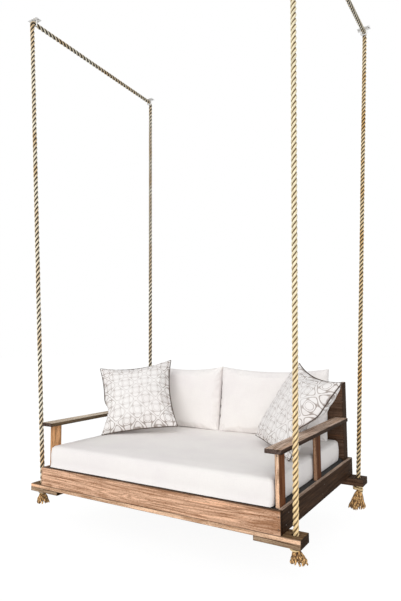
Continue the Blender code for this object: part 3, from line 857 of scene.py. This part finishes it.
def screw_heads(name, body, radius, places):
    """Countersunk heads with a cross recess, set in places of (point, direction)."""
    points, faces = [], []
    for place, direction in places:
        turn = Vector((0, 0, 1)).rotation_difference(Vector(direction)).to_matrix()
        first = len(points)
        for row, (share, height) in enumerate(screw_rings):
            for step in range(screw_sides):
                angle = 2 * pi * step / screw_sides
                notch = recess_least + recess_gain * abs(cos(2 * angle)) if row > recess_rows else 1.0
                reach = radius * share * notch
                spot = Vector((reach * cos(angle), reach * sin(angle), radius * height))
                points.append(Vector(place) + turn @ spot)
        faces += [tuple(face) for face in tube_cells(len(screw_rings), screw_sides, first)]
        faces.append(tuple(range(len(points) - screw_sides, len(points))))
    return piece(name, points, faces, screw_look, body, smooth=False)


def spots(xs, ys, zs, direction):
    return [((x, y, z), direction) for x in xs for y in ys for z in zs]


def inset(low, high, margin):
    return low + margin, high - margin


def make_screws():
    places = []
    for side, hand in ((-1, "left"), (1, "right")):
        rail_low, rail_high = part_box(hand + "_side_rail")
        outer = rail_high.x if side > 0 else rail_low.x
        for word in uprights:
            low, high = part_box(hand + "_" + word)
            for y, height in zip(inset(low.y, high.y, post_screw_inset), post_screw_heights):
                places += spots([outer], [y], [rail_low.z + height], (side, 0, 0))
        low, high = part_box(hand + "_front_post")
        places += spots([(low.x + high.x) / 2], [low.y], [high.z - arm_screw_drop], (0, -1, 0))
        for word, facing in (("front", -1), ("rear", 1)):
            low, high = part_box(word + "_rail")
            edge = (high.x if side > 0 else low.x) - side * rail_screw_inset
            heights = [low.z + height for height in rail_screw_heights]
            places += spots([edge], [low.y if facing < 0 else high.y], heights, (0, facing, 0))
            low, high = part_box(word + "_" + hand + "_block")
            inner, outer_x = (low.x, high.x) if side > 0 else (high.x, low.x)
            across = (inner + side * block_screw_insets[0], outer_x - side * block_screw_insets[1])
            places += spots(across, inset(low.y, high.y, post_screw_inset), [low.z], (0, 0, -1))
        for number in range(1, 5):
            low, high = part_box("back_board_%d" % number)
            heights = inset(low.z, high.z, back_screw_margin)
            places += spots([side * (high.x - back_screw_inset)], [low.y], heights, (0, -1, 0))
    screw_heads("frame_screws", "bed", frame_screw, places)
    places = []
    for word in ("front_left", "front_right", "rear_left", "rear_right"):
        low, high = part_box(word + "_plate")
        across = inset(low.x, high.x, plate_screw_inset)
        places += spots(across, [(low.y + high.y) / 2], [low.z], (0, 0, -1))
    screw_heads("plate_screws", "ceiling", plate_screw, places)


# Soft pieces

def floor_under(points):
    """How low each point may lie: just above the mattress's rounded edge and crowned top."""
    middle_y, half_y = (mattress_low.y + mattress_high.y) / 2, (mattress_high.y - mattress_low.y) / 2
    from_side = np.minimum(mattress_high.x - np.abs(points[:, 0]), half_y - np.abs(points[:, 1] - middle_y))
    inside = np.clip(from_side, 0, None)
    short = np.clip(mattress_rounding - inside, 0, None)
    edge = mattress_rounding - np.sqrt(mattress_rounding ** 2 - short ** 2)
    crown = mattress_crown * np.clip(inside / mattress_crown_run, 0, 1)
    return mattress_edge_top + crown - edge + seam_clearance


def grid_faces(index, back=False):
    """Faces of a grid of point numbers. Those of the back run the other way round."""
    corners = [index[:-1, :-1], index[:-1, 1:], index[1:, 1:], index[1:, :-1]]
    if back:
        corners[1], corners[3] = corners[3], corners[1]
    return np.stack(corners, -1).reshape(-1, 4)


def cushion_shell(width, height, thickness, side_draw, top_draw, columns, rows, crown):
    """Two crowned faces that meet at the seam. The UV is in metres from the middle of a face."""
    squeeze = edge_squeeze * pi
    u, v = (np.sin(np.linspace(-squeeze, squeeze, count + 1)) / sin(squeeze) for count in (columns, rows))
    across, up = np.meshgrid(u, v)
    pull = np.where(up < 0, top_draw * bottom_draw_share, top_draw)
    fall = np.clip((1 - across ** 2) * (1 - up ** 2), 0, None) ** crown
    x = (width / 2 - side_draw * (1 - up ** 2)) * across
    z = (height / 2 - pull * (1 - across ** 2)) * up
    front = np.stack([x, -thickness / 2 * fall, z], -1)
    back = front * (1, -1, 1)
    index = np.arange((rows + 1) * (columns + 1)).reshape(rows + 1, columns + 1)
    other = index.copy()
    other[1:-1, 1:-1] = index.size + np.arange((rows - 1) * (columns - 1)).reshape(rows - 1, columns - 1)
    points = np.concatenate([front.reshape(-1, 3), back[1:-1, 1:-1].reshape(-1, 3)])
    faces = np.concatenate([grid_faces(index), grid_faces(other, back=True)])
    flat = np.stack([across * width / 2, up * height / 2], -1).reshape(-1, 2)
    uvs = flat[np.concatenate([grid_faces(index), grid_faces(index, back=True)])].reshape(-1, 2)
    seam = np.zeros(len(points), bool)
    seam[np.concatenate([index[0], index[-1], index[:, 0], index[:, -1]])] = True
    return points, faces, uvs, seam


def puffed(points, faces, seam, pressure, growth, cap):
    """The shell after a short cloth simulation in which its seam stays where it is."""
    mesh = new_mesh("puff", points, faces)
    obj = added("puff", mesh)
    pins = obj.vertex_groups.new(name="seam")
    pins.add([int(number) for number in np.flatnonzero(seam)], 1.0, "REPLACE")
    modifier = obj.modifiers.new("cloth", "CLOTH")
    for key, value in cloth_values.items():
        setattr(modifier.settings, key, value)
    modifier.settings.uniform_pressure_force = pressure
    modifier.settings.shrink_min = -growth
    modifier.settings.vertex_group_mass = "seam"
    modifier.settings.effector_weights.gravity = 0
    modifier.collision_settings.use_collision = False
    modifier.point_cache.frame_start = 1
    modifier.point_cache.frame_end = cloth_frames
    for number in range(1, cloth_frames + 1):
        bpy.context.scene.frame_set(number)
    seen = obj.evaluated_get(bpy.context.evaluated_depsgraph_get())
    found = np.array([vertex.co for vertex in seen.data.vertices])
    bpy.context.scene.frame_set(1)
    bpy.data.objects.remove(obj)
    bpy.data.meshes.remove(mesh)
    move = found - points
    far = np.linalg.norm(move, axis=1)[:, None]
    return points + move * np.minimum(1, cap / np.maximum(far, least_move))


def finish_cushion(node, points, faces, uvs, look):
    obj = piece(node + "_cover", points, faces, look, node, uvs)
    smooth = obj.modifiers.new("smooth", "SUBSURF")
    smooth.levels = smooth.render_levels = 1
    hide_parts(node)


def soft_noise(points, scale, amount, seed):
    shift = Vector([seed * value for value in noise_shift])
    return amount * np.array([noise.noise(Vector(point) * scale + shift) for point in points])


def dented(points, seed):
    """The cushion with shallow dents in its faces, its seam as it was."""
    points[:, 1] *= 1 - dent_share * np.clip(0.5 + soft_noise(points, dent_scale, 1.0, seed), 0, 1)
    return points


def make_piping(name, loop, look, body):
    """The cord sewn into the seam, kept clear of the mattress and of the arm beside it."""
    path = spaced(loop, piping_step)
    room = arm_inner - 2 * piping_radius
    beside = path[:, 2] < arm_top + arm_press_above
    path[:, 0] = np.where(beside, np.clip(path[:, 0], -room, room), path[:, 0])
    path[:, 2] = np.maximum(path[:, 2], floor_under(path) + piping_radius)
    turns = np.linspace(0, 2 * pi, yarn_sides, endpoint=False)
    rings = tube_rings(path, turns[None, :], piping_radius)
    uvs = tube_uvs(np.linspace(0, 1, yarn_sides + 1), distance_along(path), 0.0)
    made = piece(name, rings.reshape(-1, 3), tube_faces(*rings.shape[:2]), look, body, uvs)


def settled(placed, press):
    """The points with what would sink into the mattress pressed flat on it, over a height of press."""
    height = placed[:, 2] - floor_under(placed)
    sink = max(0.0, -height.min())
    squeezed = (height + sink) * press / (press + sink)
    placed[:, 2] += np.where(height < press, squeezed - height, 0)
    return placed


def make_back_cushions():
    facing = np.array(Euler((-radians(back_cushion_lean), 0, 0)).to_matrix())
    height, thickness, side_draw, top_draw = back_cushion_sizes
    for seed, hand in enumerate(("left", "right")):
        node = hand + "_back_cushion"
        low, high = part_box(node)
        width = high.x - low.x + back_cushion_spread
        columns = round(width / back_cushion_cell)
        points, faces, uvs, seam = cushion_shell(width, height + back_cushion_sink, thickness, side_draw,
                                                 top_draw, columns, back_cushion_rows, back_cushion_crown)
        turned = points @ facing.T
        centre = (np.array(low + high) - turned.min(0) - turned.max(0)) / 2
        centre[2] -= back_cushion_sink / 2
        centre[0] += back_cushion_spread / 2 * (1 if hand == "left" else -1)
        points = dented(puffed(points, faces, seam, *back_cushion_puff), seed)
        placed = points @ facing.T + centre
        placed[:, 2] = np.maximum(placed[:, 2], floor_under(placed))
        by_boards = placed[:, 2] < back_top + above_back
        behind = np.where(by_boards, back_front_y - seam_clearance, high.y + past_box)
        placed[:, 1] = np.minimum(placed[:, 1], behind)
        finish_cushion(node, placed, faces, uvs, white_cloth)


def make_pillows():
    index = np.arange((pillow_cells + 1) ** 2).reshape(pillow_cells + 1, pillow_cells + 1)
    seam_loop = np.concatenate([index[0], index[1:, -1], index[-1, -2::-1], index[-2::-1, 0]])
    for side, hand, angles in ((-1, "left", left_pillow_turn), (1, "right", right_pillow_turn)):
        node = hand + "_pillow"
        yaw, lean, roll = (radians(angle) for angle in angles)
        facing = np.array(Euler((0, 0, yaw)).to_matrix() @ Euler((-lean, 0, 0)).to_matrix()
                          @ Euler((0, roll, 0)).to_matrix())
        low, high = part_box(node)
        points, faces, uvs, seam = cushion_shell(*pillow_sizes, pillow_cells, pillow_cells, pillow_crown)
        turned = points @ facing.T
        x = high.x - turned[:, 0].max() if side < 0 else low.x - turned[:, 0].min()
        centre = np.array((x, high.y - turned[:, 1].max(), high.z - turned[:, 2].max()))
        points = dented(puffed(points, faces, seam, *pillow_puff), pillow_seed + side)
        placed = points @ facing.T + centre
        above = np.clip(placed[:, 2] - arm_top - arm_press_above, 0, None)
        start = arm_inner - arm_press_gap + arm_press_slope * above - arm_press
        reach = np.abs(placed[:, 0])
        pressed = start + arm_press * np.tanh((reach - start) / arm_press)
        placed[:, 0] = np.sign(placed[:, 0]) * np.where(reach > start, pressed, reach)
        placed = settled(placed, pillow_press)
        make_piping(node + "_piping", placed[seam_loop], piping_shadow_look, node)
        finish_cushion(node, placed, faces, uvs, patterned_cloth)


def cover_place(spot, size, height):
    """Where a point of a cube of size 1 lies on the mattress's cover, from the mattress's middle."""
    half_x, half_y = size.x / 2, size.y / 2
    place = Vector((spot.x * size.x, spot.y * size.y, spot.z * height))
    inner = Vector((max(-half_x + mattress_corner, min(half_x - mattress_corner, place.x)),
                    max(-half_y + mattress_corner, min(half_y - mattress_corner, place.y)), 0))
    away = Vector((place.x - inner.x, place.y - inner.y, 0))
    deep = max(abs(away.x), abs(away.y))
    if deep > 0:
        away *= deep / away.length
    plan = inner + away
    to_side = min(half_x - abs(plan.x), half_y - abs(plan.y))
    rounding = mattress_rounding if spot.z > 0 else mattress_bottom_rounding
    if abs(spot.z) > end_level:
        short = max(0.0, rounding - max(0.0, min(mattress_corner - deep, to_side)))
        z = place.z - copysign(rounding - sqrt(rounding ** 2 - short ** 2), place.z)
        if spot.z > 0:
            z += mattress_crown * min(to_side, mattress_crown_run) / mattress_crown_run
        return Vector((plan.x, plan.y, z))
    share = spot.z * 2
    swell = mattress_bulge * (1 - share ** 2)
    if abs(plan.x) > half_x - mattress_corner:
        plan.x += copysign(swell, plan.x)
    if abs(plan.y) > half_y - mattress_corner:
        plan.y += copysign(swell, plan.y)
    if plan.y < mattress_corner - half_y:
        plan.y -= mattress_lip * min(1.0, max(0.0, (-share - lip_start) / lip_run)) ** lip_power
    return Vector((plan.x, plan.y, share * (height / 2 - rounding)))


def make_mattress():
    size = mattress_high - mattress_low
    height = mattress_edge_top - mattress_low.z
    centre = Vector((*middle_of("mattress").xy, mattress_low.z + height / 2))
    bm = bmesh.new()
    bmesh.ops.create_cube(bm, size=1)
    for axis, cuts in enumerate(mattress_cuts):
        edges = [edge for edge in bm.edges
                 if abs((edge.verts[0].co - edge.verts[1].co)[axis]) > 0.5]
        bmesh.ops.subdivide_edges(bm, edges=edges, cuts=cuts, use_grid_fill=True)
    layer = bm.loops.layers.uv.new("UVMap")
    for face in bm.faces:
        flat = max(range(3), key=lambda axis: abs(face.normal[axis]))
        for loop in face.loops:
            loop[layer].uv = [loop.vert.co[axis] * size[axis] for axis in range(3) if axis != flat]
    for vert in bm.verts:
        vert.co = cover_place(vert.co, size, height) + centre
    obj = bmesh_piece("mattress_cover", bm, white_cloth, "mattress")
    mesh = obj.data
    points = np.array([vertex.co for vertex in mesh.vertices])
    normals = np.array([vertex.normal for vertex in mesh.vertices])
    lumps = sum(soft_noise(points, *lump) for lump in mattress_lumps) - lump_middle
    points += normals * lumps[:, None]
    points[:, 2] = np.maximum(points[:, 2], mattress_low.z)
    mesh.vertices.foreach_set("co", points.astype(np.float32).ravel())
    mesh.shade_smooth()
    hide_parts("mattress")


def make_shade_sheet():
    """A black sheet laid over the slats and cut out round the posts, which paints the shade in the gap under
    the mattress.
    """
    slats_low, slats_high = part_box("seat_slat_01")
    z = slats_high.z + shade_sheet_lift
    edge_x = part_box("right_side_rail")[0].x - shade_sheet_gap
    post_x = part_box("right_front_post")[0].x - shade_sheet_gap
    right = [(edge_x, slats_low.y)]
    for word in uprights:
        low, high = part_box("right_" + word)
        near, far = low.y - post_gap, high.y + post_gap
        right += [(edge_x, near), (post_x, near), (post_x, far), (edge_x, far)]
    right.append((edge_x, slats_high.y))
    outline = right + [(-x, y) for x, y in reversed(right)]
    bm = bmesh.new()
    face = bm.faces.new([bm.verts.new((x, y, z)) for x, y in outline])
    bmesh.ops.triangulate(bm, faces=[face])
    obj = bmesh_piece("shade_sheet", bm, shade_sheet_look, "bed")


white_cloth = cloth("white_cloth", (0.90, 0.865, 0.835), (0.86, 0.815, 0.80))
patterned_cloth = cloth("patterned_cloth", (0.91, 0.885, 0.865), (0.88, 0.84, 0.82), (0.37, 0.315, 0.285))
# The piping cord is real, and its dark brown colour paints the shadow lines along the pillows' seams.
piping_shadow_look = cloth("piping_shadow_cloth", (0.115, 0.085, 0.068), (0.080, 0.058, 0.046), weave=piping_weave)
screw_look = screw_steel("screw_steel")
# The black sheet's colour paints the shade under the mattress.
shade_sheet_look = shade_sheet_material("shade_sheet_cloth")
dress_frame()
make_screws()
make_back_cushions()
make_pillows()
make_mattress()
make_shade_sheet()


# Camera, light and floor

def make_camera():
    data = bpy.data.cameras.new("camera")
    data.sensor_width = sensor_width
    data.lens = focal_pixels * sensor_width / photo_height
    data.clip_end = camera_far
    camera = added("camera", data)
    turn = (Matrix.Rotation(radians(camera_yaw), 3, "Z") @ Matrix.Rotation(radians(90 + camera_pitch), 3, "X")
            @ Matrix.Rotation(radians(camera_roll), 3, "Z"))
    camera.matrix_world = Matrix.Translation(camera_place) @ turn.to_4x4()
    bpy.context.scene.camera = camera


def seen_directly(g):
    """One where the camera, a reflection or a clear surface looks straight at the background."""
    rays = g.node("ShaderNodeLightPath")
    seen = g.math("MAXIMUM", rays["Is Camera Ray"], rays["Is Glossy Ray"])
    return g.math("MAXIMUM", seen, rays["Is Transmission Ray"])


def make_sky():
    g = Graph("studio", world=True)
    bpy.context.scene.world = g.owner
    g.tree.nodes.clear()
    sky, plain = (g.node("ShaderNodeBackground", {"Color": colour, "Strength": level})[0]
                  for colour, level in ((sky_colour, sky_level), (white, 1.0)))
    mixed = g.node("ShaderNodeMixShader", [seen_directly(g), sky, plain])[0]
    g.node("ShaderNodeOutputWorld", [mixed])


def make_floor():
    """A white ground that keeps only a share of the shadows."""
    g = Graph("white_floor")
    g.finish(floor_grey, floor_roughness, Specular_IOR_Level=0.0)
    glow = g.node("ShaderNodeEmission", {"Strength": floor_glow})[0]
    share = g.times(seen_directly(g), 1 - floor_shadow_share)
    mixed = g.node("ShaderNodeMixShader", [share, g.shader.outputs[0], glow])[0]
    g.put(g.tree.nodes["Material Output"].inputs[0], mixed)
    corners = [(x * floor_half, y * floor_half, cad_low.z - floor_gap)
               for x, y in ((-1, -1), (1, -1), (1, 1), (-1, 1))]
    piece("floor", corners, [(0, 1, 2, 3)], g.owner)


def make_sun():
    data = bpy.data.lights.new("sun", "SUN")
    data.energy = sun_level
    data.angle = radians(sun_spread)
    added("sun", data).rotation_euler = Vector(sun_place).to_track_quat("Z", "Y").to_euler()


make_camera()
make_sky()
make_floor()
make_sun()
bpy.context.scene.view_settings.view_transform = "Standard"
